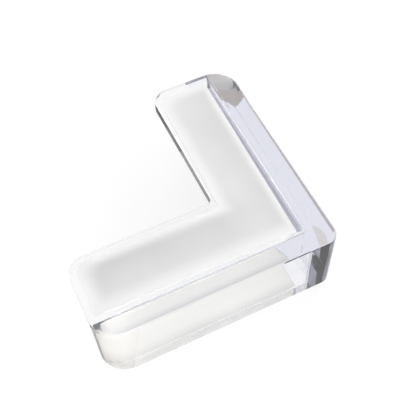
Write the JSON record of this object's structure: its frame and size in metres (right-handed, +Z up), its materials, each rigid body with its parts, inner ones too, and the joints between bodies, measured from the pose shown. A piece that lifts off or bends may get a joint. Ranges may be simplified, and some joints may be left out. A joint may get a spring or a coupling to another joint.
{
  "type": "furniture corner protector",
  "caption": "Clear L-shaped furniture corner protector: thin plate over the table top, thick side walls with rounded ends, and adhesive pads on the inner faces.",
  "frame": {"origin": "centre of the bounding box's underside, in the plane of the lower edges of the walls", "axes": "+Z up, from the walls' lower edges to the plate; the outer corner points to +X and -Y; one arm runs along +Y and the other along -X"},
  "size_m": [0.055, 0.055, 0.018],
  "materials": {
    "clear_body": "clear polished",
    "adhesive": "milky satin"
  },
  "bodies": {
    "root": {"corner_body": "clear_body", "plate_adhesive": "adhesive", "wall_adhesive_a": "adhesive", "wall_adhesive_b": "adhesive"}
  },
  "joints": []
}
